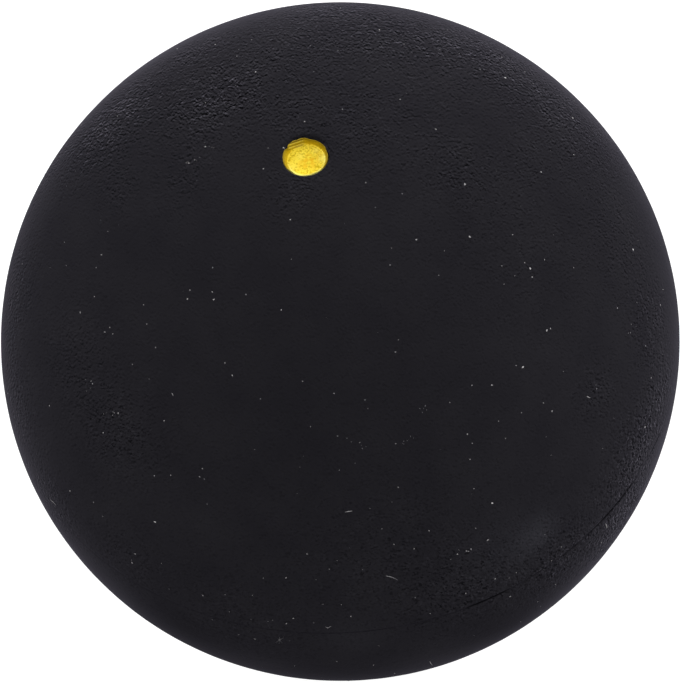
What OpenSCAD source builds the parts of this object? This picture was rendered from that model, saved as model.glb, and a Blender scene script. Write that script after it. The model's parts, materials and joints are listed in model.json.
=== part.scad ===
// Squash ball: a hollow rubber ball, moulded as two half-shells that are cemented edge to edge,
// with one dot of paint in a shallow round recess that marks how fast the ball plays.
// Lengths are in millimetres and angles in degrees. The origin is the ball's centre, the seam lies
// in the XY plane, and +Z points to the pole of the half-shell that carries the dot.

/* [Ball] */
// Outside diameter of the ball
ball_d = 40; // [39:0.1:41]
// Thickness of the rubber wall
wall_t = 5.2; // [4:0.1:6.5]

/* [Seam] */
// Thickness of the cement between the two rims
cement_t = 0.12; // [0.06:0.02:0.2]
// Width of the shallow groove that runs along the seam
groove_w = 0.3; // [0.24:0.02:0.5]
// Depth of that groove
groove_depth = 0.06; // [0.04:0.01:0.1]
// Radius of the bead of cement that is squeezed out inside the ball
bead_r = 0.45; // [0.25:0.05:0.9]

/* [Dot] */
// Diameter of the recess that holds the paint
dot_d = 2.56; // [2:0.02:4]
// Depth of the recess below the ball's surface at its edge
recess_depth = 0.6; // [0.5:0.05:0.9]
// Width of the bevelled lip round the recess
lip_w = 0.15; // [0.04:0.01:0.2]
// Thickness of the paint on the floor of the recess
paint_t = 0.12; // [0.06:0.01:0.18]
// Thickness of the paint on the wall of the recess
wall_paint_t = 0.06; // [0.03:0.01:0.1]
// Radius of the curve in which the paint climbs from the floor to the wall
meniscus_r = 0.22; // [0.1:0.01:0.25]
// Angle between the dot and the pole of its half-shell
dot_lean = 2.6; // [0:0.1:12]
// Direction in which the dot leans, as an angle about +Z from +X
dot_turn = -129; // [-180:1:180]

/* [Hidden] */
$fn = 180;

ball_r = ball_d / 2;
cavity_r = ball_r - wall_t;
// Length by which a cutting shape runs past what it cuts
overrun = 1;

// The groove is an arc of this radius, as wide and as deep as it is named above
groove_r = (pow(groove_w / 2, 2) + pow(groove_depth, 2)) / (2 * groove_depth);
groove_centre_x = ball_r - groove_depth + groove_r;

// Heights along the dot's own axis, from the ball's centre
dot_r = dot_d / 2;
dot_edge_z = sqrt(pow(ball_r, 2) - pow(dot_r, 2));
recess_floor_z = dot_edge_z - recess_depth;
lip_foot_z = dot_edge_z - lip_w;
paint_top_z = recess_floor_z + paint_t;

rubber = "#242327";
cement = "#1b1a1d";
yellow_paint = "#f4dc3c";

// Section of the groove, in the plane through the ball's axis
module groove_section() {
    translate([groove_centre_x, 0]) circle(groove_r);
}

// Section of one half-shell, above the seam
module half_shell_section() {
    difference() {
        circle(ball_r);
        circle(cavity_r);
        translate([-ball_r - overrun, -ball_r - overrun])
            square([ball_r + overrun, 2 * (ball_r + overrun)]);
        translate([-ball_r - overrun, -ball_r - overrun])
            square([2 * (ball_r + overrun), ball_r + overrun + cement_t / 2]);
        groove_section();
    }
}

// Section of the cement: the layer between the rims, and the bead inside
module cement_section() {
    difference() {
        union() {
            translate([cavity_r - bead_r / 2, -cement_t / 2])
                square([wall_t + bead_r / 2, cement_t]);
            intersection() {
                circle(cavity_r);
                translate([cavity_r, 0]) circle(bead_r);
            }
        }
        groove_section();
    }
}

// Section of the space that the dot's recess takes out of the rubber
module recess_section() {
    translate([0, recess_floor_z]) square([dot_r, recess_depth + overrun]);
    polygon([
        [0, lip_foot_z],
        [dot_r, lip_foot_z],
        [dot_r + lip_w + overrun, lip_foot_z + lip_w + overrun],
        [0, lip_foot_z + lip_w + overrun],
    ]);
}

// Section of the paint: a thin cup, with a curve from its floor to its wall
module paint_section() {
    inner_r = dot_r - wall_paint_t;
    difference() {
        translate([0, recess_floor_z]) square([dot_r, lip_foot_z - recess_floor_z]);
        translate([0, paint_top_z]) square([inner_r - meniscus_r, overrun]);
        translate([0, paint_top_z + meniscus_r]) square([inner_r, overrun]);
        translate([inner_r - meniscus_r, paint_top_z + meniscus_r]) circle(meniscus_r);
    }
}

// Puts what is drawn on the ball's axis where the dot sits
module at_dot() {
    rotate([0, 0, dot_turn]) rotate([0, dot_lean, 0]) children();
}

module dot_half_shell() {
    color(rubber) difference() {
        rotate_extrude() half_shell_section();
        at_dot() rotate_extrude() recess_section();
    }
}

module plain_half_shell() {
    color(rubber) mirror([0, 0, 1]) rotate_extrude() half_shell_section();
}

module seam_cement() {
    color(cement) rotate_extrude() cement_section();
}

module yellow_dot() {
    color(yellow_paint) at_dot() rotate_extrude() paint_section();
}

dot_half_shell();
plain_half_shell();
seam_cement();
yellow_dot();
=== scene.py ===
"""Looks of a squash ball: two buffed half-shells, their cemented seam, the paint dot and their wear."""

import json
import math
import random
from functools import partial

import bpy
import numpy as np
from mathutils import Matrix, Vector
from mathutils.bvhtree import BVHTree

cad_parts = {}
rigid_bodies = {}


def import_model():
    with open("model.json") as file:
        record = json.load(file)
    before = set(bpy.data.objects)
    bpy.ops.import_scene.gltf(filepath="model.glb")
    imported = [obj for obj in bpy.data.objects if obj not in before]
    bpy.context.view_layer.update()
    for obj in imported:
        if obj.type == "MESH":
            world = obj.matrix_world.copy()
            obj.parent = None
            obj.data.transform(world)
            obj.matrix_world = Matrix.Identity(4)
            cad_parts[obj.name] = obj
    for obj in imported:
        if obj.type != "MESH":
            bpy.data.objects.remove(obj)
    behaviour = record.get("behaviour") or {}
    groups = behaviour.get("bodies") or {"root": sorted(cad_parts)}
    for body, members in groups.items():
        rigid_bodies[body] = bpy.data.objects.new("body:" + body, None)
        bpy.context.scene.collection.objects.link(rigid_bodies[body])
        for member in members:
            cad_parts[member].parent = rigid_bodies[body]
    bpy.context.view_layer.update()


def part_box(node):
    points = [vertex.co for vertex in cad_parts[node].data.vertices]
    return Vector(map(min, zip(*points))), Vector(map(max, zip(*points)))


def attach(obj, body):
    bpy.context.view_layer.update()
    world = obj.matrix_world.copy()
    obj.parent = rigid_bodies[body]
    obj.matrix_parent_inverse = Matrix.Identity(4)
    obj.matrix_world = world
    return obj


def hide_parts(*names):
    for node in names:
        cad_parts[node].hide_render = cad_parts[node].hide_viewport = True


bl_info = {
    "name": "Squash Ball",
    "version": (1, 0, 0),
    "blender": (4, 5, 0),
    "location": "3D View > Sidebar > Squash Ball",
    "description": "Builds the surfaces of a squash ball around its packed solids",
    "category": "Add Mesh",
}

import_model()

MM = 0.001
BODY = "root"
HALF_NAMES = ("dot_half_skin", "plain_half_skin")

# The ball's radius, and where the dot sits on it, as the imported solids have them
BALL_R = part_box("plain_half_shell")[1].x
DOT_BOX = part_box("yellow_dot")
DOT_AXIS = ((DOT_BOX[0] + DOT_BOX[1]) / 2).normalized()
DOT_LEAN = {"Dot Lean": math.acos(DOT_AXIS.z), "Dot Turn": math.atan2(DOT_AXIS.y, DOT_AXIS.x)}

# The photograph's frame, and the outline of the ball in it, in pixels
IMAGE_W, IMAGE_H = 680, 685
LIMB_X, LIMB_Y, LIMB_R = 340.25, 341.53, 339.9
# Where the camera stands: its distance in ball radii, its height above the seam plane and its roll
CAMERA_RADII = 16
CAMERA_ELEVATION = math.radians(55.92)
CAMERA_ROLL = math.radians(7.45)

# Stretches where the seam is open: x and y in pixels, half length in mm, openness
OPEN_SEAM = (
    (618, 504, 1.6, 1.0), (594, 532, 0.8, 0.55), (571, 551, 0.8, 0.45), (536, 574, 0.7, 0.3),
    (489, 601, 1.3, 0.75), (440, 618, 0.7, 0.18), (655, 430, 0.8, 0.5),
)
# Patches where the buffing tore the skin: x, y and radius in pixels, strength
BUFFED = (
    (215, 98, 50, 0.93), (300, 45, 60, 0.5), (400, 40, 55, 0.62), (480, 50, 55, 0.78), (110, 120, 55, 1.2),
    (560, 110, 70, 0.62), (360, 120, 55, 0.36), (460, 165, 38, 0.35), (620, 240, 50, 0.25),
    (652, 320, 38, 0.5), (598, 392, 26, 0.3), (660, 400, 40, 0.7), (635, 460, 45, 0.85),
    (622, 520, 42, 1.35), (560, 560, 45, 0.6), (470, 590, 55, 0.42), (385, 560, 70, 0.15),
    (75, 360, 42, 0.26), (50, 165, 45, 1.05), (50, 500, 40, 0.5), (185, 178, 28, 0.22),
    (290, 190, 30, 0.24), (520, 235, 75, 0.12), (115, 430, 45, 0.3), (340, 6, 60, 0.85), (195, 50, 36, 0.6),
    (14, 290, 45, 0.45), (14, 400, 45, 0.5), (125, 560, 40, 0.2), (240, 625, 60, 0.17), (290, 112, 26, 0.3),
    (525, 160, 26, 0.25), (445, 95, 30, 0.2), (119, 187, 24, 0.3),
)
# Buffing of the skin between those patches
EVEN_BUFFING = 0.07
# Soft pale bloom on the rubber: x, y and radius in pixels, strength
BLOOM = ((538, 535, 24, 0.75), (505, 548, 40, 0.3), (640, 560, 40, 0.5), (350, 640, 30, 0.25))
# Weight of the bloom where its strength is 1
BLOOM_SHARE = 0.35
# Painted shade along the ball's bottom rim, darker towards the bottom: x, y and radius in pixels, strength
BOTTOM_RIM_SHADE = ((342, 681, 70, 1.3), (504, 631, 45, 0.8), (182, 632, 45, 0.7))
# The edge of the dot's paint, as shares of its radius at angles from image right towards image up
DOT_EDGE_SHARES = (
    (-4, 0.985), (8, 0.965), (20, 0.94), (31, 0.955), (45, 0.935), (60, 0.925), (75, 0.9), (84, 0.905),
    (91, 0.945), (98, 0.985), (107, 0.975), (118, 0.965), (127, 1.01), (138, 1.03), (143, 1.03), (148, 1.0),
    (151, 0.95), (155, 0.96), (158, 1.0), (163, 1.03), (184, 1.025), (217, 1.02), (228, 0.985),
    (237, 0.975), (246, 1.02), (262, 1.03), (271, 1.01), (286, 1.0), (295, 0.98), (304, 0.99), (315, 1.0),
    (330, 1.01), (344, 1.0),
)
# Soft patches in the dot's paint: x and y from its middle and radius in mm, strength. The first pale patch,
# at the paint's right edge, is a painted highlight
DOT_PATCHES = {
    "gold": ((0.05, -0.2, 0.5, 1.0), (0.43, 0.19, 0.3, 1.0)),
    "thin": ((0.43, 0.19, 0.18, 0.25), (-0.75, 0.2, 0.2, 0.2)),
    "pale": (
        (0.97, 0.1, 0.26, 0.5), (0.5, 0.6, 0.2, 0.22), (-0.35, 0.25, 0.25, 0.16), (-0.7, -0.5, 0.3, 0.16),
    ),
}
# The flap of paint that hangs up and to the left in the dot: the direction across its folds, in degrees
# from image right towards image up, and in mm along it the flap's lower edge, one fold and their distance
FLAP_TURN, FLAP_EDGE, FLAP_FOLD, FLAP_PITCH = 108.5, 0.8, 1.08, 0.165
# How far the flap lies above the paint under it, and how high its folds are, in mm
FLAP_LIFT, FOLD_HEIGHT = 0.04, 0.02
# Where the near rim and the far wall of the dot are, in degrees from image right towards image up
NEAR_TURN, FAR_TURN = -88, 115
# Lint on the rubber: points in pixels, thickness in mm
LINT = (
    (((344.8, 512.4), (348.5, 511.7), (352.3, 511.2)), 0.05),
    (((282.6, 147.2), (283.8, 146.9), (284.9, 146.5)), 0.12),
    (((386, 576.3), (390, 577), (394, 578.4), (398, 580.6)), 0.055),
    (((325.5, 627.2), (328, 628.4), (331, 626.6)), 0.05),
    (((430, 661.5), (430.6, 663.5), (432.4, 665.5)), 0.05),
    (((171.5, 393), (172.4, 394.6), (173, 396)), 0.05),
    (((606, 524), (606.9, 526), (607.4, 528)), 0.09),
    (((587.2, 396), (588.6, 397.2), (590.5, 397.9)), 0.05),
    (((275.5, 643.2), (279.5, 640.5), (283.5, 638.2)), 0.014),
    (((277.5, 638.8), (280, 641), (282.5, 643.8)), 0.014),
    (((279.4, 637.5), (279.8, 641), (278.8, 644.5)), 0.012),
    (((49.5, 499.5), (52.6, 502.2), (55.5, 505.5)), 0.04),
)
# Short worn streaks that have lost a few crumbs of skin: points in pixels, crumbs, spread in mm
STREAKS = (
    (((183, 166), (199, 158)), 6, 0.25), (((203, 143), (214, 150)), 5, 0.2),
    (((84, 388), (95, 380)), 5, 0.25), (((104, 417), (118, 412)), 6, 0.25),
    (((350, 441), (366, 449)), 6, 0.3), (((398, 446), (413, 438)), 7, 0.25),
    (((419, 412), (426, 404)), 5, 0.25), (((627, 333), (636, 326)), 4, 0.2),
    (((452, 560), (470, 551)), 4, 0.3),
)
# Specks of dust that show singly, as points in pixels under their width in mm
SPECKS = {
    0.17: (
        (573, 117.7), (633.5, 249.5), (131.8, 563.1),
    ),
    0.14: (
        (505.5, 77.5), (465.1, 184.1), (469.9, 236.7), (546.9, 330.5), (523, 367.2), (492.5, 503.3),
        (154.7, 522.3), (471.2, 549.3), (79.8, 312.5), (488.1, 540.3), (134.8, 554.3), (93.2, 502.5),
        (510.2, 596.8), (530.5, 268.5), (597, 388.8), (645.2, 427.3), (502, 57),
    ),
    0.11: (
        (459.5, 53.1), (255.5, 71.5), (400.3, 99.2), (436, 128.9), (416.5, 239.5), (104.5, 332),
        (232.1, 375.5), (492, 385.2), (199.3, 476.8), (204.1, 479.3), (468.5, 551.5), (495.3, 579.2),
        (466, 593.8), (255, 639.5), (336.8, 661.9), (154.1, 475.9), (202.7, 595.9), (286, 578.1),
        (552.3, 411.3), (525, 71.3), (574.3, 100.5), (574, 154.5), (447.8, 29.5), (307, 554.2),
        (69.7, 491.1), (101.3, 254.8), (155.3, 347.5), (187.3, 298.8), (213.5, 299.5), (617.8, 308),
        (293.2, 618.7),
    ),
    0.085: (
        (379.5, 29.5), (215.1, 44.1), (238.8, 49.1), (236.7, 55.7), (472.9, 58.5), (480.3, 69.2),
        (533.5, 83.5), (205.3, 102.5), (342.5, 109.1), (304.5, 121.3), (590, 136.5), (263.2, 168.5),
        (375.3, 207.2), (290.3, 219.5), (512.7, 234.5), (390.1, 264.9), (94, 296.5), (143.2, 304.7),
        (109.5, 327.3), (550.8, 328.7), (646, 346), (596.2, 385.1), (170.5, 475.3), (382, 529.1),
        (475.9, 528.5), (545.1, 534.9), (394, 544.5), (561.8, 547.2), (131.3, 560.5), (551.9, 560.9),
        (555.9, 584.7), (224.9, 595), (350.9, 616.7), (313.8, 623.3), (373.5, 665.5), (541.5, 171.8),
        (365.8, 182.5), (440, 49.3), (263.1, 578.4), (238.6, 635.2), (294.5, 666.3), (206.9, 504.2),
        (202.2, 468.9), (337.6, 436.2), (370, 508.8), (429.2, 531), (414.2, 549), (398.3, 487.5),
        (474.2, 488.8), (516.5, 572.8), (509.5, 578.3), (415.3, 598), (538, 602), (470, 459.5),
        (472.5, 443.5), (95.8, 267.5), (112.5, 334), (146.5, 324), (132, 364.5), (212, 291.8),
        (245.8, 294.5), (281.3, 309.8), (212.5, 267.5), (224.8, 363), (260.3, 399), (334, 393.5),
        (163.8, 420.8), (49, 405.8), (502, 265.8), (532.5, 277), (545, 259.5), (516.3, 365.5), (472, 385.5),
        (660.8, 305), (663.3, 289.5), (563.8, 371.5), (543.8, 403), (498.8, 421.3), (546.3, 437),
        (467.5, 434.3), (365, 400), (338, 50),
    ),
    0.065: (
        (252.4, 595.7), (229.4, 612.2), (267.9, 621.8), (250.9, 620), (212.2, 620.3), (169, 589.4),
        (315.9, 580), (329.3, 569.5), (337, 561), (102.4, 516.7), (161.2, 563.8), (430.3, 613.8),
        (362.5, 569.8), (341.3, 605), (323, 604.5), (474.3, 635.8), (379, 646.3), (339.3, 470.3),
        (65.8, 265.3), (310.5, 426.8), (302.5, 381.3), (148.8, 379), (525, 262.5), (515, 275.8),
        (574, 267.5), (504.3, 284.3), (637.5, 302.5), (521.8, 412.8), (505.8, 438.5), (450, 402.5),
        (107.5, 231.3), (100.5, 220), (313.8, 71.3),
    ),
}
# Seeds of the random draws
SEAM_SEED, BUFFING_SEED, DUST_SEED, SPECK_SEED, STREAK_SEED, CRUMB_SEED, LINT_SEED = 5, 11, 3, 21, 7, 9, 13
# Torn rubber has no gloss to see, but its fine fuzz and wax give a bluish grey edge where it turns away
RUBBER_FINISH = {
    "Roughness": 0.9, "Diffuse Roughness": 1.0, "Specular IOR Level": 0.0, "Sheen Weight": 0.115,
    "Sheen Roughness": 0.3, "Sheen Tint": (0.85, 0.8, 1.0, 1.0),
}
# Soft boxes: name, direction as image right, image up and towards the camera, and power in watts
SOFT_BOXES = (
    ("front_box", (0, 0.2, 1), 2.35), ("right_box", (1, 0.35, 0.1), 0.65),
    ("top_right_box", (0.7, 0.8, 0.1), 2.34), ("top_left_box", (-0.7, 0.8, 0.1), 1.76),
)
# How far the soft boxes are from the ball's centre, and how wide a box and the floor are, in metres
BOX_DISTANCE = 0.6
BOX_SIZE = 0.4
FLOOR_SIZE = 3.0
# How strongly the world lights the ball
WORLD_STRENGTH = 0.05
# What the paper gives off where it is seen, on top of what it reflects
PAPER_GLOW = 0.95


def camera_axes():
    """Unit vectors in the ball's frame: image right, image up, and from the ball to the camera."""
    back = Vector((0, -math.cos(CAMERA_ELEVATION), math.sin(CAMERA_ELEVATION)))
    level = Vector((1, 0, 0))
    above = back.cross(level)
    right = math.cos(CAMERA_ROLL) * level - math.sin(CAMERA_ROLL) * above
    return right, back.cross(right), back


def on_skin(px, py):
    """The direction from the ball's centre to the point of its skin that shows at a pixel."""
    right, up, back = camera_axes()
    slope = 1 / math.sqrt(CAMERA_RADII**2 - 1) / LIMB_R
    ray = -back + slope * ((px - LIMB_X) * right - (py - LIMB_Y) * up)
    # The ray leaves CAMERA_RADII * back and meets the unit sphere at its nearer root
    half_b = CAMERA_RADII * back.dot(ray)
    inside = half_b**2 - ray.length_squared * (CAMERA_RADII**2 - 1)
    step = (-half_b - math.sqrt(max(inside, 0))) / ray.length_squared
    return (CAMERA_RADII * back + step * ray).normalized()


def linear(hex_colour):
    """A linear RGBA colour from an sRGB hex value."""
    shares = [int(hex_colour[i:i + 2], 16) / 255 for i in (1, 3, 5)]
    return [s / 12.92 if s <= 0.04045 else ((s + 0.055) / 1.055) ** 2.4 for s in shares] + [1.0]


def smooth(low, high, value):
    """Smoothstep of a number or an array from low to high."""
    share = np.clip((value - low) / (high - low), 0, 1)
    return share * share * (3 - 2 * share)


def add_node(tree, kind, inputs=None, **settings):
    """Adds a node with its settings, and gives each input a value or links it to a socket or a node."""
    node = tree.nodes.new(kind)
    for name, value in settings.items():
        setattr(node, name, value)
    for name, value in (inputs or {}).items():
        if isinstance(value, bpy.types.Node):
            value = next(socket for socket in value.outputs if not socket.is_unavailable)
        if isinstance(value, bpy.types.NodeSocket):
            tree.links.new(value, node.inputs[name])
        else:
            node.inputs[name].default_value = value
    return node


def new_geometry_tree(name, sockets):
    """A geometry tree with named inputs, what adds its nodes, and the outputs of its group input."""
    tree = bpy.data.node_groups.new(name, "GeometryNodeTree")
    for in_out in ("INPUT", "OUTPUT"):
        tree.interface.new_socket("Geometry", in_out=in_out, socket_type="NodeSocketGeometry")
    for label, kind in sockets.items():
        tree.interface.new_socket(label, in_out="INPUT", socket_type="NodeSocket" + kind)
    add = partial(add_node, tree)
    return tree, add, add("NodeGroupInput").outputs


def close_geometry_tree(add, geometry, material):
    """Ends a tree in Realize Instances and Set Material."""
    real = add("GeometryNodeRealizeInstances", {"Geometry": geometry})
    finished = add("GeometryNodeSetMaterial", {"Geometry": real, "Material": material})
    add("NodeGroupOutput", {"Geometry": finished})


def new_mesh(name, points, edges=(), faces=()):
    """A mesh from its points, edges and faces."""
    mesh = bpy.data.meshes.new(name)
    mesh.from_pydata(points, edges, faces)
    return mesh


def add_object(name, data):
    """Adds an object to the scene."""
    made = bpy.data.objects.new(name, data)
    bpy.context.scene.collection.objects.link(made)
    return made


def grow(name, mesh, tree, values):
    """Runs a geometry tree on a mesh and returns the result as an object with a plain mesh."""
    seed_object = add_object(name + "_seed", mesh)
    modifier = seed_object.modifiers.new(name, "NODES")
    modifier.node_group = tree
    for item in tree.interface.items_tree:
        if item.in_out == "INPUT" and item.name in values:
            modifier[item.identifier] = values[item.name]
    depsgraph = bpy.context.evaluated_depsgraph_get()
    plain = bpy.data.meshes.new_from_object(seed_object.evaluated_get(depsgraph))
    plain.name = name
    seed_object.modifiers.remove(modifier)
    bpy.data.objects.remove(seed_object)
    return add_object(name, plain)


def arc(centre, radius, start, end, steps):
    """Points of an arc in the section plane, by angles from the section's own X axis."""
    turns = [start + (end - start) * i / steps for i in range(steps + 1)]
    return [(centre[0] + radius * math.cos(t), centre[1] + radius * math.sin(t)) for t in turns]


def between(start, end, steps):
    """Points from just after start to end on a straight line in the section plane."""
    return [tuple(a + (b - a) * i / steps for a, b in zip(start, end)) for i in range(1, steps + 1)]


def length_property(label, description, millimetres):
    """A length that a user may change."""
    return bpy.props.FloatProperty(
        name=label, description=description, default=millimetres * MM, subtype="DISTANCE")


def colour_property(label, description, hex_colour):
    """A colour that a user may change."""
    return bpy.props.FloatVectorProperty(
        name=label, description=description, default=linear(hex_colour), subtype="COLOR", size=4)


class BallSizes(bpy.types.PropertyGroup):
    """Sizes of the ball's surfaces."""

    wall: length_property("Wall", "Thickness of the rubber wall", 5.2)
    cement: length_property("Cement", "Thickness of the cement between the rims", 0.12)
    groove_width: length_property("Groove Width", "Width of the groove along the seam", 0.3)
    groove_depth: length_property("Groove Depth", "Depth of the groove along the seam", 0.07)
    bead: length_property("Bead", "Radius of the cement bead inside the ball", 0.45)
    dot: length_property("Dot", "Diameter of the dot's paint", 2.56)
    dot_gap: length_property("Dot Gap", "Gap between the paint and the wall of its recess", 0.05)
    recess_depth: length_property("Recess Depth", "Depth of the recess of the dot", 0.6)
    lip: length_property("Lip", "Radius of the rounded lip of the recess", 0.12)
    lip_dip: length_property("Lip Dip", "Depth to which the skin dips towards the recess", 0.05)
    paint: length_property("Paint", "Thickness of the paint on the recess floor", 0.12)
    paint_slope: length_property("Paint Slope", "Width over which the paint climbs the wall", 0.21)
    skin_sink: length_property("Skin Sink", "Room for dust between the skin and the ball's full size", 0.012)
    dents: length_property("Dents", "Depth of the shallow dents of buffing", 0.02)
    pebbles: length_property("Pebbles", "Depth of the pebbled skin", 0.012)
    dust: length_property("Dust", "Width of the largest scattered specks of dust", 0.11)
    dust_count: bpy.props.IntProperty(
        name="Dust Count", description="Scattered specks of dust on each half-shell", default=420, min=0)
    segments: bpy.props.IntProperty(
        name="Segments", description="Faces round each half-shell", default=440, min=24)


class BallColours(bpy.types.PropertyGroup):
    """Colours of the ball and of the stage."""

    rubber: colour_property("Rubber", "Buffed black rubber", "#232227")
    rubber_worn: colour_property("Worn Rubber", "Rubber where it is rubbed", "#2D2C30")
    bloom: colour_property("Bloom", "Pale film on the rubber", "#4B4B52")
    cement: colour_property("Cement", "Cured rubber solution", "#222126")
    paint: colour_property("Paint", "Yellow of the dot", "#F4DA3E")
    paint_fleck: colour_property("Paint Fleck", "Ochre flecks in the paint", "#C6A80A")
    paint_gold: colour_property("Gold Paint", "Warm patches in the middle of the dot", "#E6B61C")
    paint_deep: colour_property("Deep Paint", "Ochre of the thin paint on the wall", "#BEA00E")
    # Paint Film also paints shade in the folds of the dot's flap
    paint_film_and_fold_shade: colour_property("Paint Film", "Paint at the lip, with rubber showing through", "#7C6810")
    # Pale Paint paints a highlight round the dot's edge and on the flap's crests, besides paler patches
    paint_pale_and_highlight: colour_property("Pale Paint", "Thick pale paint at the near rim", "#F6EE7C")
    dust: colour_property("Dust", "Chalky dust and lint", "#C6C3C4")
    floor: colour_property("Floor", "Pale studio floor", "#98989A")


def groove_arc(sizes):
    """Half the width of the seam's groove, the radius of its arc, and how far out the arc's centre is."""
    half_width = sizes.groove_width / 2
    radius = (half_width**2 + sizes.groove_depth**2) / (2 * sizes.groove_depth)
    return half_width, radius, BALL_R - sizes.groove_depth + radius


def recess_floor(sizes):
    """Height of the floor of the recess along the dot's axis, from the ball's centre."""
    return math.sqrt(BALL_R**2 - (sizes.dot / 2) ** 2) - sizes.recess_depth


def half_shell_section(sizes, with_recess):
    """Section of a half-shell from the pole down the outside, across the rim and up the inside."""
    skin_step, crowding = 0.24 * MM, 1.12
    dip_width, fade_width = 0.55 * MM, 0.4 * MM
    half_cement = sizes.cement / 2
    cavity_r = BALL_R - sizes.wall
    groove_half, groove_r, groove_x = groove_arc(sizes)
    points = []
    start = 0.0
    if with_recess:
        wall_r = sizes.dot / 2 + sizes.dot_gap
        lip_x = wall_r + sizes.lip
        dipped_r = BALL_R - sizes.lip_dip
        lip_z = math.sqrt((dipped_r - sizes.lip) ** 2 - lip_x**2)
        floor_z = recess_floor(sizes)
        tangent = math.atan2(lip_z, lip_x)
        points += [(wall_r * i / 6, floor_z) for i in range(7)]
        points += between((wall_r, floor_z), (wall_r, lip_z), 6)
        points += arc((lip_x, lip_z), sizes.lip, math.pi, tangent, 9)[1:]
        start = math.pi / 2 - tangent
    relief = [0.0] * len(points)
    groove_edge = math.asin(groove_half / BALL_R)
    end = math.pi / 2 - 2 * groove_edge
    steps = round((end - start) * BALL_R / skin_step)
    # Short steps near the lip, where the skin dips into the recess
    skin = [start + (end - start) * ((i / steps) ** crowding if with_recess else i / steps)
            for i in range(1 if with_recess else 0, steps + 1)]
    for t in skin:
        away = (t - start) * BALL_R
        dip = sizes.lip_dip * (1 - smooth(0, dip_width, away)) if with_recess else 0
        points.append(((BALL_R - dip) * math.sin(t), (BALL_R - dip) * math.cos(t)))
        relief.append(float(smooth(0, fade_width, away)) if with_recess else 1.0)
    turns = [groove_edge * share for share in (1.75, 1.5, 1.25)]
    points += [(BALL_R * math.cos(t), BALL_R * math.sin(t)) for t in turns]
    relief += [1.0] * len(turns)
    opening = math.asin(groove_half / groove_r)
    closing = math.asin(half_cement / groove_r)
    wall = arc((groove_x, 0), groove_r, math.pi - opening, math.pi - closing, 5)
    points += wall
    relief += [1.0 - i / 5 for i in range(6)]
    rim_r = math.sqrt(cavity_r**2 - half_cement**2)
    points += between(wall[-1], (rim_r, half_cement), 6)[:-1]
    points += arc((0, 0), cavity_r, math.asin(half_cement / cavity_r), math.pi / 2, 24)
    points[-1] = (0.0, points[-1][1])
    relief += [0.0] * (len(points) - len(relief))
    return points, relief


def paint_section(sizes):
    """Section of the paint cup, from the middle of its floor out up the sloping wall and back under it."""
    film, lip_drop = 0.05 * MM, 0.15 * MM
    floor_steps, wall_steps, edge_steps = 34, 14, 6
    dot_r = sizes.dot / 2
    floor_z = recess_floor(sizes)
    lip_z = floor_z + sizes.recess_depth - lip_drop
    top_z = floor_z + sizes.paint
    foot = dot_r - sizes.paint_slope
    top = [(foot * i / floor_steps, top_z) for i in range(floor_steps + 1)]
    top += between((foot, top_z), (dot_r - film, lip_z), wall_steps)
    top += arc((dot_r - film / 2, lip_z), film / 2, math.pi, 0, edge_steps)[1:]
    relief = [1.0] * (floor_steps + 1) + [0.6] * wall_steps + [0.3] * edge_steps
    under = between(top[-1], (dot_r, floor_z), 5) + [(dot_r * (1 - i / 4), floor_z) for i in range(1, 5)]
    return top + under, relief + [0.0] * len(under)


def cement_section(sizes):
    """Section of the cement: the layer between the rims, and the bead inside the cavity."""
    half_cement = sizes.cement / 2
    cavity_r = BALL_R - sizes.wall
    _, groove_r, groove_x = groove_arc(sizes)
    closing = math.asin(half_cement / groove_r)
    edge = arc((groove_x, 0), groove_r, math.pi - closing, math.pi + closing, 6)
    rim_r = math.sqrt(cavity_r**2 - half_cement**2)
    lower = between(edge[-1], (rim_r, -half_cement), 6)
    # The bead follows the cavity wall to where its own arc meets it
    meet = math.acos(1 - sizes.bead**2 / (2 * cavity_r**2))
    along = arc((0, 0), cavity_r, -math.asin(half_cement / cavity_r), -meet, 3)[1:]
    swing = math.atan2(cavity_r * math.sin(meet), cavity_r * math.cos(meet) - cavity_r)
    bead = arc((cavity_r, 0), sizes.bead, -swing, swing - 2 * math.pi, 16)[1:]
    back = [(x, -z) for x, z in reversed(along[:-1])]
    upper = [(x, -z) for x, z in reversed(lower)]
    loop = edge + lower + along + bead + back + upper + [edge[0]]
    return loop, [0.0] * len(loop)


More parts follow.
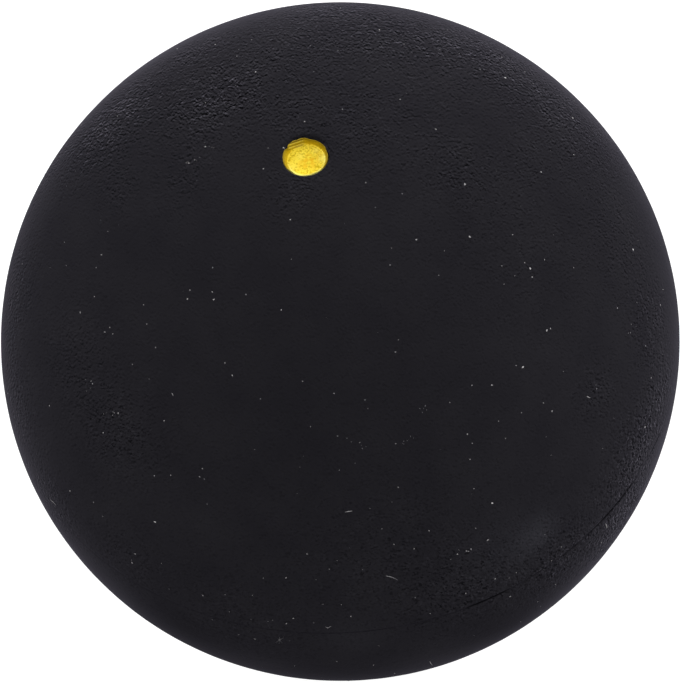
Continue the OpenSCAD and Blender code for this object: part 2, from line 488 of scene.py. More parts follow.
def revolved_tree():
    """Revolves a section about +Z, leans its top to the dot, and gives its skin relief."""
    tree, add, given = new_geometry_tree("Revolved skin", {
        "Segments": "Int", "Dot Lean": "Float", "Dot Turn": "Float", "Dent Depth": "Float",
        "Dent Size": "Float", "Pebble Depth": "Float", "Pebble Size": "Float", "Sink": "Float",
        "Material": "Material"})

    # The section's points become the rows of a grid, whose columns are turned about the axis
    rows = add("GeometryNodeAttributeDomainSize", {"Geometry": given["Geometry"]}, component="MESH")
    rows = rows.outputs["Point Count"]
    columns = add("ShaderNodeMath", {0: given["Segments"], 1: 1}, operation="ADD")
    grid = add("GeometryNodeMeshGrid", {
        "Size X": 1.0, "Size Y": 1.0, "Vertices X": columns, "Vertices Y": rows})
    place = add("GeometryNodeInputPosition")
    on_grid = add("ShaderNodeSeparateXYZ", {0: place}).outputs
    row_share = add("ShaderNodeMath", {0: on_grid["Y"], 1: 0.5}, operation="ADD")
    last_row = add("ShaderNodeMath", {0: rows, 1: 1}, operation="SUBTRACT")
    row = add("ShaderNodeMath", {0: row_share, 1: last_row}, operation="MULTIPLY")
    row = add("ShaderNodeMath", {0: row}, operation="ROUND")
    turn_share = add("ShaderNodeMath", {0: on_grid["X"], 1: 0.5}, operation="ADD")
    angle = add("ShaderNodeMath", {0: turn_share, 1: -2 * math.pi}, operation="MULTIPLY")
    relief = add("GeometryNodeInputNamedAttribute", {"Name": "relief"}, data_type="FLOAT")
    from_section = {"Geometry": given["Geometry"], "Index": row}
    section = add("GeometryNodeSampleIndex", dict(from_section, Value=place), data_type="FLOAT_VECTOR")
    section_relief = add("GeometryNodeSampleIndex", dict(from_section, Value=relief), data_type="FLOAT")
    with_relief = add("GeometryNodeStoreNamedAttribute", {
        "Geometry": grid, "Name": "relief", "Value": section_relief}, data_type="FLOAT", domain="POINT")
    turned = add("ShaderNodeVectorRotate", {"Vector": section, "Angle": angle}, rotation_type="Z_AXIS")
    wrapped = add("GeometryNodeSetPosition", {"Geometry": with_relief, "Position": turned})
    closed = add("GeometryNodeMergeByDistance", {"Geometry": wrapped, "Distance": 1e-7})

    # The rows near the pole lean with the dot; the lean dies out towards the seam
    beside = add("ShaderNodeMath", {0: given["Dot Turn"], 1: math.pi / 2}, operation="ADD")
    hinge = add("ShaderNodeVectorRotate", {"Vector": (1, 0, 0), "Angle": beside}, rotation_type="Z_AXIS")
    outwards = add("ShaderNodeVectorMath", {0: place}, operation="NORMALIZE")
    height = add("ShaderNodeSeparateXYZ", {0: outwards}).outputs["Z"]
    share = add("ShaderNodeMapRange", {
        "Value": height, "From Min": 0.3, "From Max": 0.97}, interpolation_type="SMOOTHSTEP")
    lean = add("ShaderNodeMath", {0: share, 1: given["Dot Lean"]}, operation="MULTIPLY")
    leaned = add("ShaderNodeVectorRotate", {"Vector": place, "Axis": hinge, "Angle": lean})
    at_dot = add("GeometryNodeSetPosition", {"Geometry": closed, "Position": leaned})

    # Relief only ever sinks the skin, so that the ball never grows past its size
    hollows = []
    for kind, detail in (("Dent", 2.0), ("Pebble", 1.0)):
        hollow = add("ShaderNodeVectorMath", {0: place, 1: given[kind + " Size"]}, operation="DIVIDE")
        hollow = add("ShaderNodeTexNoise", {"Vector": hollow, "Scale": 1.0, "Detail": detail})
        hollows.append(add("ShaderNodeMath", {0: hollow, 1: given[kind + " Depth"]}, operation="MULTIPLY"))
    sunk = add("ShaderNodeMath", {0: hollows[0], 1: hollows[1]}, operation="ADD")
    sunk = add("ShaderNodeMath", {0: sunk, 1: given["Sink"]}, operation="ADD")
    sunk = add("ShaderNodeMath", {0: sunk, 1: relief}, operation="MULTIPLY")
    inwards = add("ShaderNodeVectorMath", {0: outwards, 1: (-1, -1, -1)}, operation="MULTIPLY")
    offset = add("ShaderNodeVectorMath", {0: inwards, "Scale": sunk}, operation="SCALE")
    dented = add("GeometryNodeSetPosition", {"Geometry": at_dot, "Offset": offset})
    close_geometry_tree(add, add("GeometryNodeSetShadeSmooth", {0: dented}), given["Material"])
    return tree


def add_flakes(add, points, rotation, given):
    """Adds an uneven flake to each point: a flattened, distorted ball of 80 faces."""
    flake = add("GeometryNodeMeshIcoSphere", {"Radius": 0.5, "Subdivisions": 2})
    place = add("GeometryNodeInputPosition")
    dents = add("ShaderNodeTexNoise", {"Vector": place, "Scale": 1.7, "Detail": 1.0}).outputs["Color"]
    dents = add("ShaderNodeVectorMath", {0: dents, 1: (0.5, 0.5, 0.5)}, operation="SUBTRACT")
    dents = add("ShaderNodeVectorMath", {0: dents, "Scale": 0.9}, operation="SCALE")
    uneven = add("GeometryNodeSetPosition", {"Geometry": flake, "Offset": dents})
    spin = add("FunctionNodeRandomValue", {
        "Min": (0, 0, 0), "Max": (0.5, 0.5, 2 * math.pi), "Seed": given["Seed"]}, data_type="FLOAT_VECTOR")
    spin = add("FunctionNodeEulerToRotation", {0: spin})
    turned = add("FunctionNodeRotateRotation", {0: rotation, 1: spin}, rotation_space="LOCAL")
    # Most flakes are small: the share of full size is the cube of an even draw
    draw = add("FunctionNodeRandomValue", {"Seed": given["Seed"]}, data_type="FLOAT")
    draw = add("ShaderNodeMath", {0: draw, 1: 3.0}, operation="POWER")
    size = add("ShaderNodeMapRange", {
        "Value": draw, "To Min": given["Least Size"], "To Max": given["Full Size"]})
    size = add("ShaderNodeVectorMath", {0: (1.0, 0.7, 0.3), "Scale": size}, operation="SCALE")
    flakes = add("GeometryNodeInstanceOnPoints", {
        "Points": points, "Instance": uneven, "Rotation": turned, "Scale": size})
    real = add("GeometryNodeRealizeInstances", {"Geometry": flakes})
    # No flake stands proud of the ball's full size
    length = add("ShaderNodeVectorMath", {0: place}, operation="LENGTH")
    capped = add("ShaderNodeMath", {0: length, 1: given["Ball Radius"]}, operation="MINIMUM")
    along = add("ShaderNodeVectorMath", {0: place}, operation="NORMALIZE")
    inside = add("ShaderNodeVectorMath", {0: along, "Scale": capped}, operation="SCALE")
    return add("GeometryNodeSetPosition", {"Geometry": real, "Position": inside})


def dust_tree():
    """Scatters flakes over the skin of a half-shell, thicker where its dust attribute is high."""
    tree, add, given = new_geometry_tree("Dust on skin", {
        "Density": "Float", "Full Size": "Float", "Least Size": "Float", "Ball Radius": "Float",
        "Seed": "Int", "Material": "Material"})
    dusty = add("GeometryNodeInputNamedAttribute", {"Name": "dust"}, data_type="FLOAT")
    density = add("ShaderNodeMath", {0: dusty, 1: given["Density"]}, operation="MULTIPLY")
    scattered = add("GeometryNodeDistributePointsOnFaces", {
        "Mesh": given["Geometry"], "Density": density, "Seed": given["Seed"]}).outputs
    flakes = add_flakes(add, scattered["Points"], scattered["Rotation"], given)
    close_geometry_tree(add, flakes, given["Material"])
    return tree


def crumb_tree():
    """Puts a flake on each point of a mesh, flat against the ball."""
    tree, add, given = new_geometry_tree("Crumbs on points", {
        "Full Size": "Float", "Least Size": "Float", "Ball Radius": "Float", "Seed": "Int",
        "Material": "Material"})
    points = add("GeometryNodeMeshToPoints", {"Mesh": given["Geometry"]})
    place = add("GeometryNodeInputPosition")
    upright = add("FunctionNodeAlignRotationToVector", {"Vector": place}, axis="Z")
    close_geometry_tree(add, add_flakes(add, points, upright, given), given["Material"])
    return tree


def new_material(name):
    """An empty material, and what adds its nodes."""
    material = bpy.data.materials.new(name)
    material.use_nodes = True
    material.node_tree.nodes.clear()
    return material, partial(add_node, material.node_tree)


def close_material(add, inputs):
    """Ends a material in its shader."""
    add("ShaderNodeOutputMaterial", {"Surface": add("ShaderNodeBsdfPrincipled", inputs)})


def rubber_material(colours):
    """Butyl rubber, moulded and then buffed with coarse grit: near black and matt, torn into short wrinkles.

    Each tear is painted lighter on its edge that faces image up, a painted highlight from the lamps above,
    and painted darker on its other edge, a painted shade in its hollow.
    """
    material, add = new_material("Buffed black rubber")
    spot = add("ShaderNodeTexCoord").outputs["Object"]
    # Two of these attributes hold painted shade: in the open seam and round the recess's rim, and along the
    # bottom rim
    buffing, bloom, grime, rubbed = [
        add("ShaderNodeAttribute", attribute_name=name).outputs["Fac"]
        for name in ("buffing", "bloom", "grime", "rubbed")]
    patchy = add("ShaderNodeTexNoise", {"Vector": spot, "Scale": 1 / (0.5 * MM), "Detail": 2.0})
    patchy = add("ShaderNodeMapRange", {
        "Value": patchy, "From Min": 0.35, "From Max": 0.65, "To Min": 0.4, "To Max": 1.7})
    torn = add("ShaderNodeMath", {0: buffing, 1: patchy}, operation="MULTIPLY")

    # Tears of about 0.15 mm, as fine as the picture can show, drawn out along the line from the ball to the
    # camera
    along_view = Matrix(camera_axes()).transposed().to_euler()
    drawn = add("ShaderNodeMapping", {
        "Vector": spot, "Rotation": along_view, "Scale": (1, 1, 2.5)}, vector_type="TEXTURE")
    tear = {"Scale": 1 / (0.15 * MM), "Detail": 1.0}
    tears = add("ShaderNodeTexNoise", dict(tear, Vector=drawn))
    # The same tears sampled a little towards image up are taken away, so that the colour is lighter where a
    # tear faces up to the lamps and darker where it faces down
    tears_towards_light = add("ShaderNodeVectorMath", {0: drawn, 1: Vector((0, 0.055, -0.03)) * MM}, operation="ADD")
    tears_towards_light = add("ShaderNodeTexNoise", dict(tear, Vector=tears_towards_light))
    painted_relief_light = add("ShaderNodeMath", {0: tears, 1: tears_towards_light}, operation="SUBTRACT")
    # Pits are painted darker, as shade in them, and ridges greyer, where the rubber is polished and dusty
    pit_shade_and_ridge_tone = add("ShaderNodeMath", {0: tears, 1: 0.5}, operation="SUBTRACT")
    pit_shade_and_ridge_tone = add("ShaderNodeMath", {0: pit_shade_and_ridge_tone, 1: 0.3}, operation="MULTIPLY")
    painted_relief_light = add("ShaderNodeMath", {0: painted_relief_light, 1: pit_shade_and_ridge_tone}, operation="ADD")
    # A painted highlight on the edge of each tear that faces up, and painted shade on the edge that faces
    # down
    shade = add("ShaderNodeMapRange", {"Value": painted_relief_light, "From Min": 0.0, "From Max": 0.3, "To Max": 1.0})
    painted_undercut_shade = add("ShaderNodeMapRange", {
        "Value": painted_relief_light, "From Min": -0.06, "From Max": -0.2, "To Max": 1.9}, interpolation_type="SMOOTHSTEP")
    # Painted shade in the open seam, round the recess's rim and along the bottom rim darkens the colour too
    for step, other in (
            ("SUBTRACT", painted_undercut_shade), ("MULTIPLY", torn), ("SUBTRACT", grime), ("SUBTRACT", rubbed)):
        shade = add("ShaderNodeMath", {0: shade, 1: other}, operation=step)
    shade = add("ShaderNodeMath", {0: shade}, operation="EXPONENT")
    blotch = add("ShaderNodeTexNoise", {"Vector": spot, "Scale": 1 / (3 * MM), "Detail": 4.0})
    colour = colours.rubber
    for share, layer in ((blotch, colours.rubber_worn), (bloom, colours.bloom)):
        colour = add("ShaderNodeMix", {"Factor": share, "A": colour, "B": layer}, data_type="RGBA")
    colour = add("ShaderNodeVectorMath", {0: colour, "Scale": shade}, operation="SCALE")
    bump = add("ShaderNodeBump", {"Strength": torn, "Distance": 0.12 * MM, "Height": tears})
    close_material(add, RUBBER_FINISH | {"Base Color": colour, "Normal": bump})
    return material


def cement_material(colours):
    """Cured rubber solution, rubbed flush in places: like the rubber beside it, but a little darker."""
    material, add = new_material("Cured rubber cement")
    spot = add("ShaderNodeTexCoord").outputs["Object"]
    grime = add("ShaderNodeAttribute", attribute_name="grime").outputs["Fac"]
    grain = add("ShaderNodeTexNoise", {"Vector": spot, "Scale": 1 / (0.2 * MM), "Detail": 3.0})
    shade = add("ShaderNodeMapRange", {
        "Value": grain, "From Min": 0.3, "From Max": 0.7, "To Min": -0.35, "To Max": 0.35})
    # Painted shade where the seam is open darkens the cement
    shade = add("ShaderNodeMath", {0: shade, 1: grime}, operation="SUBTRACT")
    shade = add("ShaderNodeMath", {0: shade}, operation="EXPONENT")
    colour = add("ShaderNodeVectorMath", {0: colours.cement[:3], "Scale": shade}, operation="SCALE")
    bump = add("ShaderNodeBump", {"Strength": 0.6, "Distance": 0.01 * MM, "Height": grain})
    close_material(add, RUBBER_FINISH | {"Base Color": colour, "Normal": bump})
    return material


def paint_material(colours):
    """Flexible yellow paint dropped into the recess: satin and flecked, ochre where it is thin on the wall.

    It is gold in the middle, where it pooled last. Its pale layer is mostly a painted highlight round the
    near rim and on the flap's crests, and its film layer also paints shade in the flap's folds.
    """
    material, add = new_material("Yellow dot paint")
    spot = add("ShaderNodeTexCoord").outputs["Object"]
    flecks = add("ShaderNodeTexNoise", {"Vector": spot, "Scale": 1 / (0.11 * MM), "Detail": 1.0})
    flecks = add("ShaderNodeMapRange", {"Value": flecks, "From Min": 0.48, "From Max": 0.67})
    blotch = add("ShaderNodeTexNoise", {"Vector": spot, "Scale": 1 / (0.3 * MM), "Detail": 2.0})
    blotch = add("ShaderNodeMapRange", {"Value": blotch, "From Min": 0.4, "From Max": 0.6})
    gold, pale, thin, film = [
        add("ShaderNodeAttribute", attribute_name=name).outputs["Fac"]
        for name in ("gold", "pale", "thin", "film")]
    warm = add("ShaderNodeMath", {0: gold, 1: blotch}, operation="MULTIPLY")
    colour = colours.paint
    # The pale layer paints a highlight at the near rim and on the flap's crests, and the film layer paints
    # shade in the flap's folds
    for share, layer in (
            (flecks, colours.paint_fleck), (warm, colours.paint_gold), (pale, colours.paint_pale_and_highlight),
            (thin, colours.paint_deep), (film, colours.paint_film_and_fold_shade)):
        colour = add("ShaderNodeMix", {"Factor": share, "A": colour, "B": layer}, data_type="RGBA")
    close_material(add, {"Base Color": colour, "Roughness": 0.5, "Specular IOR Level": 0.15})
    return material


def dust_material(colours):
    """Chalk, skin of the court wall and lint: pale, dry and quite matt."""
    material, add = new_material("Court dust")
    spot = add("ShaderNodeTexCoord").outputs["Object"]
    shade = add("ShaderNodeTexNoise", {"Vector": spot, "Scale": 1 / (1.1 * MM), "Detail": 2.0})
    shade = add("ShaderNodeMapRange", {
        "Value": shade, "From Min": 0.35, "From Max": 0.65, "To Min": 0.15, "To Max": 1.0})
    colour = add("ShaderNodeMix", {"Factor": shade, "A": colours.bloom, "B": colours.dust}, data_type="RGBA")
    close_material(add, {"Base Color": colour, "Roughness": 0.9, "Specular IOR Level": 0.2})
    return material


def revolved(name, section, tree, values):
    """A piece revolved from a section, with sharp edges where its faces meet steeply."""
    points, relief = section
    edges = [(i, i + 1) for i in range(len(points) - 1)]
    mesh = new_mesh(name + "_section", [(x, 0.0, z) for x, z in points], edges)
    mesh.attributes.new("relief", "FLOAT", "POINT").data.foreach_set("value", relief)
    piece = grow(name, mesh, tree, values)
    piece.data.set_sharp_from_angle(angle=math.radians(50))
    return piece


def points_of(piece):
    """The vertices of a piece, as rows of an array."""
    flat = np.empty(len(piece.data.vertices) * 3)
    piece.data.vertices.foreach_get("co", flat)
    return flat.reshape(-1, 3)


def put_points(piece, points):
    """Moves the vertices of a piece to the rows of an array."""
    piece.data.vertices.foreach_set("co", points.ravel())
    piece.data.update()


def keep_attributes(piece, **attributes):
    """Stores values for each vertex of a piece, for its material or its dust to read."""
    for name, values in attributes.items():
        piece.data.attributes.new(name, "FLOAT", "POINT").data.foreach_set("value", values)


def soft_spot(directions, centre, width):
    """How near each direction is to a soft round spot: 1 in its middle, and dying out past its width."""
    away = np.arccos(np.clip(directions @ np.array(centre), -1, 1)) / width
    return np.exp(-away**2)


def spots_over(directions, spots):
    """The sum at each direction of soft round spots: x, y and radius in pixels, and strength."""
    total = np.zeros(len(directions))
    for x, y, radius, strength in spots:
        total += strength * soft_spot(directions, on_skin(x, y), radius / LIMB_R)
    return total


def hidden_spots(rng, count, radius, strength):
    """Directions, sizes and strengths of soft spots on the side that the photograph doesn't show."""
    back = camera_axes()[2]
    spots = []
    while len(spots) < count:
        direction = Vector([rng.gauss(0, 1) for _ in range(3)]).normalized()
        if direction.dot(back) < -0.1:
            spots.append((direction, radius * rng.uniform(0.6, 1.4), strength * rng.uniform(0.3, 1.2)))
    return spots


def seam_openness(azimuth):
    """How far the seam is open at each angle round +Z, where 1 is the whole groove."""
    stretches = []
    for x, y, half, openness in OPEN_SEAM:
        direction = on_skin(x, y)
        stretches.append((math.atan2(direction.y, direction.x), half * MM / BALL_R, openness))
    # 16 more stretches, on the half of the seam that the photograph doesn't show
    rng = random.Random(SEAM_SEED)
    for _ in range(16):
        turn = rng.uniform(0, math.pi)
        stretches.append((turn, rng.uniform(0.5, 2.0) * MM / BALL_R, rng.uniform(0.2, 0.7)))
    open_share = np.full(len(azimuth), 0.05)
    for turn, half, openness in stretches:
        away = np.abs((azimuth - turn + math.pi) % (2 * math.pi) - math.pi)
        open_share = np.maximum(open_share, openness * (1 - smooth(half * 0.7, half * 1.3, away)))
    return open_share


def close_seam(piece, sizes):
    """Fills the seam's groove nearly flush, but for the stretches where it stays open and gets painted
    shade.
    """
    points = points_of(piece)
    radius = np.linalg.norm(points, axis=1)
    open_share = seam_openness(np.arctan2(points[:, 1], points[:, 0]))
    # The cement is rubbed down to the mean level of the skin beside it
    level = BALL_R - sizes.skin_sink - (sizes.dents + sizes.pebbles) / 2
    depth = level - radius
    groove = (np.abs(points[:, 2]) < sizes.groove_width) & (depth < 2 * sizes.groove_depth) & (depth > 0)
    lifted = radius + depth * (1 - open_share)
    points[groove] *= (lifted / radius)[groove][:, None]
    put_points(piece, points)
    # The rim of the recess on its side towards image up is painted darker too, as shade at the lip
    rim_inner, rim_outer, rim_grime, seam_grime = 1.42 * MM, 1.75 * MM, 0.25, 1.5
    above = points / np.linalg.norm(points, axis=1)[:, None] - np.array(DOT_AXIS)
    from_dot = np.linalg.norm(above, axis=1) * BALL_R
    farther = smooth(0.2, 0.9, above @ np.array(camera_axes()[1]) * BALL_R / np.maximum(from_dot, MM))
    at_rim = farther * (1 - smooth(rim_inner, rim_outer, from_dot)) * rim_grime
    # Painted shade in the open stretches of the groove, darker towards its bottom
    in_groove = groove * smooth(0.1, 0.6, depth / sizes.groove_depth) * smooth(0.15, 1.0, open_share)
    keep_attributes(piece, grime=np.maximum(seam_grime * in_groove, at_rim))


def dot_axes():
    """Unit vectors of the dot: towards image right, towards image up, and out of the ball."""
    up = camera_axes()[1]
    along = (up - up.dot(DOT_AXIS) * DOT_AXIS).normalized()
    return along.cross(DOT_AXIS), along, DOT_AXIS


def turn_between(angles, middle):
    """How far each angle in degrees is from the middle one, round the circle."""
    return np.abs((angles - middle + 180) % 360 - 180)


def shape_dot(piece, sizes):
    """Trims the paint's edge, folds its loose flap, and marks the middle, the thin wall, and a painted
    highlight at the rim and on the flap's crests with painted shade in its folds.
    """
    axes = np.array(dot_axes())
    local = points_of(piece) @ axes.T
    angle = np.degrees(np.arctan2(local[:, 1], local[:, 0]))
    share = np.hypot(local[:, 0], local[:, 1]) / (sizes.dot / 2)
    turns, shares = zip(*DOT_EDGE_SHARES)
    edge = np.interp(angle, turns, shares, period=360)
    local[:, :2] *= (1 + (edge - 1) * smooth(0.75, 1.0, share))[:, None]
    floor_z = recess_floor(sizes)
    on_top = local[:, 2] > floor_z + 0.3 * sizes.paint
    foot = 1 - sizes.paint_slope / (sizes.dot / 2)
    wall = on_top * smooth(foot - 0.01, foot + 0.025, share)

    # The flap's folds run straight across the picture, over the wall and a little of the floor
    floor_top = np.array((0, 0, floor_z + sizes.paint))
    seen = np.array(camera_axes()[:2]) @ axes.T
    across, high = (seen @ (local - floor_top).T) / MM
    turn = math.radians(FLAP_TURN)
    along = across * math.cos(turn) + high * math.sin(turn)
    flap = on_top * smooth(FLAP_EDGE, FLAP_EDGE + 0.03, along) * smooth(-1.05, -0.95, across)
    flap *= 1 - smooth(-0.25, -0.05, across)
    fold = np.cos((along - FLAP_FOLD) * 2 * math.pi / FLAP_PITCH)
    local[:, 2] += flap * (1 - wall) * FLAP_LIFT * MM + flap * fold * FOLD_HEIGHT * MM

    # A painted highlight lies round the paint's edge, strongest at the near rim and left off on the far
    # side, which is in shade, and on the flap's crests, with painted shade in its folds; the paint is thin
    # on the far wall
    near = 1 - smooth(35, 65, turn_between(angle, NEAR_TURN))
    crest_highlight = flap * np.maximum(fold, 0)
    rim = on_top * smooth(0.74, 0.82, share) * (0.55 + 0.35 * near)
    rim *= smooth(60, 110, turn_between(angle, FAR_TURN))
    bare = on_top * smooth(foot + 0.02, 1.02, share) * (1 - near)
    patches = {}
    for layer, spots in DOT_PATCHES.items():
        away = [np.hypot(local[:, 0] / MM - x, local[:, 1] / MM - y) / r for x, y, r, _ in spots]
        patches[layer] = on_top * sum(spot[3] * np.exp(-a**2) for spot, a in zip(spots, away))
    thin = np.maximum(wall * (1 - near), flap) * (1 - 0.4 * crest_highlight)
    # The flap's troughs are painted darker as shade, and its crests lighter as a highlight
    keep_attributes(
        piece, thin=np.maximum(thin, patches["thin"]), pale=np.clip(rim + crest_highlight + patches["pale"], 0, 1),
        film=np.clip(bare + 0.5 * flap * np.maximum(-fold, 0), 0, 1) * (1 - crest_highlight),
        gold=np.clip(patches["gold"], 0, 1))
    put_points(piece, local @ axes)


def skin_finder():
    """A function that gives the place on the outer skin in a direction, from the half-shells' own faces."""
    verts, faces = [], []
    for name in HALF_NAMES:
        piece = bpy.data.objects[name]
        base = len(verts)
        verts += [tuple(v) for v in points_of(piece)]
        faces += [[base + i for i in polygon.vertices] for polygon in piece.data.polygons]
    tree = BVHTree.FromPolygons(verts, faces)
    return lambda direction: tree.ray_cast(direction * BALL_R * 1.1, -direction)[0]


class SQUASH_OT_half_shells(bpy.types.Operator):
    """Builds the two rubber half-shells"""

    bl_idname = "squash.half_shells"
    bl_label = "Half-Shells"

    def execute(self, context):
        sizes = context.scene.squash_sizes
        tree = revolved_tree()
        values = {
            "Segments": sizes.segments, "Material": rubber_material(context.scene.squash_colours),
            "Dent Depth": sizes.dents, "Dent Size": 4 * MM, "Pebble Depth": sizes.pebbles,
            "Pebble Size": 0.8 * MM, "Sink": sizes.skin_sink}
        dot_half = revolved("dot_half_skin", half_shell_section(sizes, True), tree, values | DOT_LEAN)
        points, relief = half_shell_section(sizes, False)
        mirrored = [(x, -z) for x, z in reversed(points)]
        plain_half = revolved("plain_half_skin", (mirrored, relief[::-1]), tree, values)
        hidden = hidden_spots(random.Random(BUFFING_SEED), count=26, radius=0.2, strength=0.6)
        seen_side = np.array(camera_axes()[2])
        for piece, node in ((dot_half, "dot_half_shell"), (plain_half, "plain_half_shell")):
            close_seam(piece, sizes)
            directions = points_of(piece)
            distance = np.linalg.norm(directions, axis=1)
            directions /= distance[:, None]
            buffing = EVEN_BUFFING + spots_over(directions, BUFFED)
            for centre, width, strength in hidden:
                buffing += strength * soft_spot(directions, centre, width)
            # Scattered dust is thin on the side that is seen, where the specks are set down singly
            on_outside = distance > BALL_R - 0.1 * MM
            # The rubbed values are painted shade along the bottom rim
            keep_attributes(
                piece, buffing=buffing, rubbed=spots_over(directions, BOTTOM_RIM_SHADE),
                bloom=np.clip(spots_over(directions, BLOOM), 0, 1) * BLOOM_SHARE,
                dust=on_outside * (1 - 0.7 * smooth(-0.1, 0.3, directions @ seen_side)))
            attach(piece, BODY)
            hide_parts(node)
        return {"FINISHED"}


class SQUASH_OT_seam_cement(bpy.types.Operator):
    """Builds the cement between the rims"""

    bl_idname = "squash.seam_cement"
    bl_label = "Seam Cement"

    def execute(self, context):
        sizes = context.scene.squash_sizes
        values = {
            "Segments": sizes.segments, "Material": cement_material(context.scene.squash_colours),
            "Dent Size": 1.0, "Pebble Size": 1.0}
        tree = bpy.data.node_groups["Revolved skin"]
        cement = revolved("seam_cement_ring", cement_section(sizes), tree, values)
        close_seam(cement, sizes)
        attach(cement, BODY)
        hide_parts("seam_cement")
        return {"FINISHED"}


class SQUASH_OT_yellow_dot(bpy.types.Operator):
    """Builds the paint of the dot"""

    bl_idname = "squash.yellow_dot"
    bl_label = "Yellow Dot"

    def execute(self, context):
        sizes = context.scene.squash_sizes
        values = DOT_LEAN | {
            "Segments": 240, "Material": paint_material(context.scene.squash_colours),
            "Dent Depth": 0.05 * MM, "Dent Size": 0.6 * MM,
            "Pebble Depth": 0.015 * MM, "Pebble Size": 0.12 * MM}
        dot = revolved("dot_paint", paint_section(sizes), bpy.data.node_groups["Revolved skin"], values)
        shape_dot(dot, sizes)
        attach(dot, BODY)
        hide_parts("yellow_dot")
        return {"FINISHED"}


def add_fibre(verts, faces, path, radius):
    """Adds a closed tube along a path, thinner at its ends."""
    sides, end_share, flatness = 6, 0.45, 0.8
    first = len(verts)
    last = len(path) - 1
    for i, point in enumerate(path):
        ahead = path[min(i + 1, last)] - path[max(i - 1, 0)]
        out = point.normalized()
        across = ahead.cross(out).normalized()
        here = radius * (end_share if i in (0, last) else 1.0)
        for k in range(sides):
            turn = 2 * math.pi * k / sides
            corner = point + here * (math.cos(turn) * across + flatness * math.sin(turn) * out)
            verts.append(corner * min(1.0, BALL_R / corner.length))
    for i in range(last):
        for k in range(sides):
            a = first + i * sides + k
            b = first + i * sides + (k + 1) % sides
            faces.append((a, a + sides, b + sides, b))
    faces.append(tuple(range(first, first + sides)))
    faces.append(tuple(range(len(verts) - 1, len(verts) - sides - 1, -1)))


class SQUASH_OT_dust(bpy.types.Operator):
    """Scatters dust over the half-shells and sets down the specks that show singly"""

    bl_idname = "squash.dust"
    bl_label = "Dust"

    def execute(self, context):
        sizes = context.scene.squash_sizes
        values = {
            "Density": sizes.dust_count / (2 * math.pi * BALL_R**2), "Full Size": sizes.dust,
            "Least Size": sizes.dust / 4, "Ball Radius": BALL_R,
            "Material": dust_material(context.scene.squash_colours)}
        tree = dust_tree()
        for index, name in enumerate(HALF_NAMES):
            mesh = bpy.data.objects[name].data.copy()
            dust = grow(f"dust_{index + 1}", mesh, tree, values | {"Seed": DUST_SEED + index})
            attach(dust, BODY)
        tree = crumb_tree()
        find = skin_finder()
        for index, (width, pixels) in enumerate(SPECKS.items()):
            mesh = new_mesh("speck_points", [find(on_skin(x, y)) for x, y in pixels])
            one_size = {"Full Size": width * MM, "Least Size": width * MM, "Seed": SPECK_SEED + index}
            specks = grow(f"specks_{index + 1}", mesh, tree, values | one_size)
            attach(specks, BODY)
        return {"FINISHED"}


class SQUASH_OT_streaks(bpy.types.Operator):
    """Sheds crumbs of skin along short worn streaks"""

    bl_idname = "squash.streaks"
    bl_label = "Worn Streaks"

    def execute(self, context):
        find = skin_finder()
        rng = random.Random(STREAK_SEED)
        crumbs = []
        for path, count, spread in STREAKS:
            (x0, y0), (x1, y1) = path
            for i in range(count):
                along = (i + rng.uniform(0.1, 0.9)) / count
                direction = on_skin(x0 + (x1 - x0) * along, y0 + (y1 - y0) * along)
                aside = Vector([rng.gauss(0, spread * MM / BALL_R / 2) for _ in range(3)])
                crumbs.append(find((direction + aside).normalized()))
        streaks = grow("streak_crumbs", new_mesh("streak_points", crumbs), crumb_tree(), {
            "Full Size": 0.12 * MM, "Least Size": 0.04 * MM, "Ball Radius": BALL_R,
            "Seed": CRUMB_SEED, "Material": bpy.data.materials["Court dust"]})
        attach(streaks, BODY)
        return {"FINISHED"}


class SQUASH_OT_lint(bpy.types.Operator):
    """Lays fibres of lint on the rubber"""

    bl_idname = "squash.lint"
    bl_label = "Lint"

    def execute(self, context):
        find = skin_finder()
        verts, faces = [], []
        for path, thickness in LINT:
            add_fibre(verts, faces, [find(on_skin(x, y)) for x, y in path], thickness * MM / 2)
        # Fibres on the side that the photograph doesn't show
        rng = random.Random(LINT_SEED)
        for direction, length, _ in hidden_spots(rng, count=9, radius=0.6 * MM, strength=1.0):
            ahead = direction.orthogonal().normalized()
            ahead.rotate(Matrix.Rotation(rng.uniform(0, 2 * math.pi), 3, direction))
            bend = rng.uniform(-0.3, 0.3) * ahead.cross(direction)
            steps = [(ahead * s + bend * s * s) * length / BALL_R for s in (-0.5, -0.15, 0.2, 0.5)]
            path = [find((direction + step).normalized()) for step in steps]
            add_fibre(verts, faces, path, 0.025 * MM)
        mesh = new_mesh("lint", verts, faces=faces)
        mesh.materials.append(bpy.data.materials["Court dust"])
        mesh.shade_smooth()
        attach(add_object("lint", mesh), BODY)
        return {"FINISHED"}


def seen_share(add):
    """1 for the rays that show the background, straight, in gloss or through glass, and 0 for light."""
    path = add("ShaderNodeLightPath").outputs
    seen = add("ShaderNodeMath", {0: path["Is Camera Ray"], 1: path["Is Glossy Ray"]}, operation="ADD")
    return add("ShaderNodeMath", {0: seen, 1: path["Is Transmission Ray"]}, operation="ADD")


def add_floor(colours):
    """Lays white paper under the ball. It is overexposed where it is seen, as in the photograph."""
    half = FLOOR_SIZE / 2
    corners = [(x * half, y * half, -BALL_R) for x, y in ((-1, -1), (1, -1), (1, 1), (-1, 1))]
    mesh = new_mesh("studio_floor", corners, faces=[(0, 1, 2, 3)])
    material, add = new_material("White studio paper")
    glow = add("ShaderNodeMath", {0: seen_share(add), 1: PAPER_GLOW}, operation="MULTIPLY")
    close_material(add, {
        "Base Color": colours.floor, "Roughness": 0.9, "Emission Color": (1, 1, 1, 1),
        "Emission Strength": glow})
    mesh.materials.append(material)
    add_object("studio_floor", mesh)


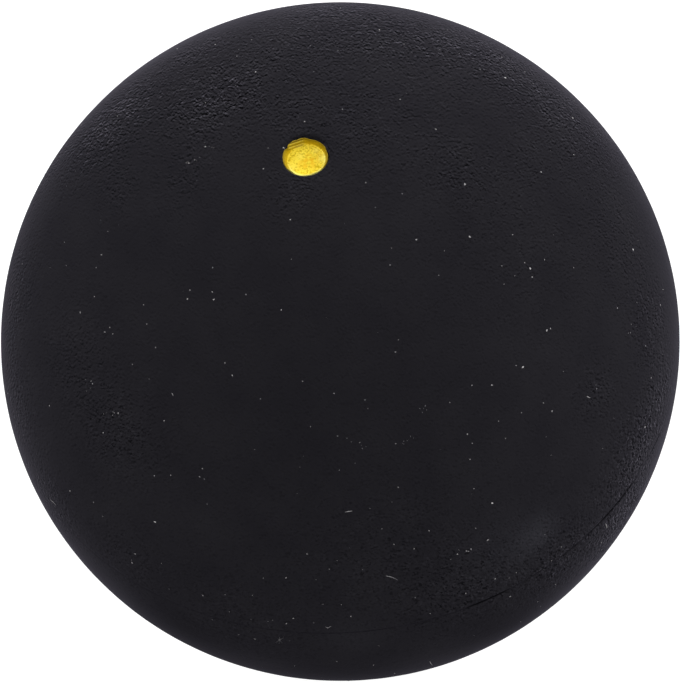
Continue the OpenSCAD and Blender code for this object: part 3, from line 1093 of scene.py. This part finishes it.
def add_world():
    """Makes a world that lights the ball faintly and is white where it is seen."""
    world = bpy.data.worlds.new("Studio")
    world.use_nodes = True
    world.node_tree.nodes.clear()
    add = partial(add_node, world.node_tree)
    strength = add("ShaderNodeMapRange", {"Value": seen_share(add), "To Min": WORLD_STRENGTH, "To Max": 1.0})
    backdrop = add("ShaderNodeBackground", {"Color": (1, 1, 1, 1), "Strength": strength})
    add("ShaderNodeOutputWorld", {"Surface": backdrop})
    bpy.context.scene.world = world


def add_soft_box(name, direction, power):
    """Adds a square soft box that faces the ball."""
    data = bpy.data.lights.new(name, "AREA")
    data.size = BOX_SIZE
    data.energy = power
    light = add_object(name, data)
    light.location = direction.normalized() * BOX_DISTANCE
    light.rotation_mode = "QUATERNION"
    light.rotation_quaternion = direction.to_track_quat("Z", "Y")


def add_camera():
    """Adds the camera, whose shift puts the ball where it is in the photograph's frame."""
    right, up, back = camera_axes()
    longer_side = max(IMAGE_W, IMAGE_H)
    limb_slope = 1 / math.sqrt(CAMERA_RADII**2 - 1)
    data = bpy.data.cameras.new("camera")
    data.sensor_width = 36
    data.lens = data.sensor_width * LIMB_R / limb_slope / longer_side
    data.shift_x = (IMAGE_W / 2 - LIMB_X) / longer_side
    data.shift_y = (LIMB_Y - IMAGE_H / 2) / longer_side
    data.clip_start = 0.01
    camera = add_object("camera", data)
    turn = Matrix((right, up, back)).transposed().to_4x4()
    camera.matrix_world = Matrix.Translation(back * CAMERA_RADII * BALL_R) @ turn
    bpy.context.scene.camera = camera


class SQUASH_OT_stage(bpy.types.Operator):
    """Builds the floor, the lights and the camera"""

    bl_idname = "squash.stage"
    bl_label = "Stage"

    def execute(self, context):
        add_floor(context.scene.squash_colours)
        add_world()
        right, up, back = camera_axes()
        for name, (x, y, z), power in SOFT_BOXES:
            add_soft_box(name, x * right + y * up + z * back, power)
        add_camera()
        context.scene.view_settings.view_transform = "Standard"
        return {"FINISHED"}


class SQUASH_PT_panel(bpy.types.Panel):
    """Sizes, colours and pieces of the squash ball"""

    bl_idname = "SQUASH_PT_panel"
    bl_label = "Squash Ball"
    bl_space_type = "VIEW_3D"
    bl_region_type = "UI"
    bl_category = "Squash Ball"

    def draw(self, context):
        for group in (context.scene.squash_sizes, context.scene.squash_colours):
            column = self.layout.column()
            for name in group.bl_rna.properties.keys():
                if name not in ("rna_type", "name"):
                    column.prop(group, name)
        for operator in OPERATORS:
            self.layout.operator(operator.bl_idname)


OPERATORS = (
    SQUASH_OT_stage, SQUASH_OT_half_shells, SQUASH_OT_seam_cement, SQUASH_OT_yellow_dot, SQUASH_OT_dust,
    SQUASH_OT_streaks, SQUASH_OT_lint)
CLASSES = (BallSizes, BallColours) + OPERATORS + (SQUASH_PT_panel,)


def register():
    """Adds the classes, and their settings to the scene."""
    for cls in CLASSES:
        bpy.utils.register_class(cls)
    bpy.types.Scene.squash_sizes = bpy.props.PointerProperty(type=BallSizes)
    bpy.types.Scene.squash_colours = bpy.props.PointerProperty(type=BallColours)


def unregister():
    """Takes them away again."""
    del bpy.types.Scene.squash_colours
    del bpy.types.Scene.squash_sizes
    for cls in reversed(CLASSES):
        bpy.utils.unregister_class(cls)


def main():
    """Builds the pieces in order."""
    register()
    bpy.ops.squash.stage()
    bpy.ops.squash.half_shells()
    bpy.ops.squash.seam_cement()
    bpy.ops.squash.yellow_dot()
    bpy.ops.squash.dust()
    bpy.ops.squash.streaks()
    bpy.ops.squash.lint()


if __name__ == "__main__":
    main()
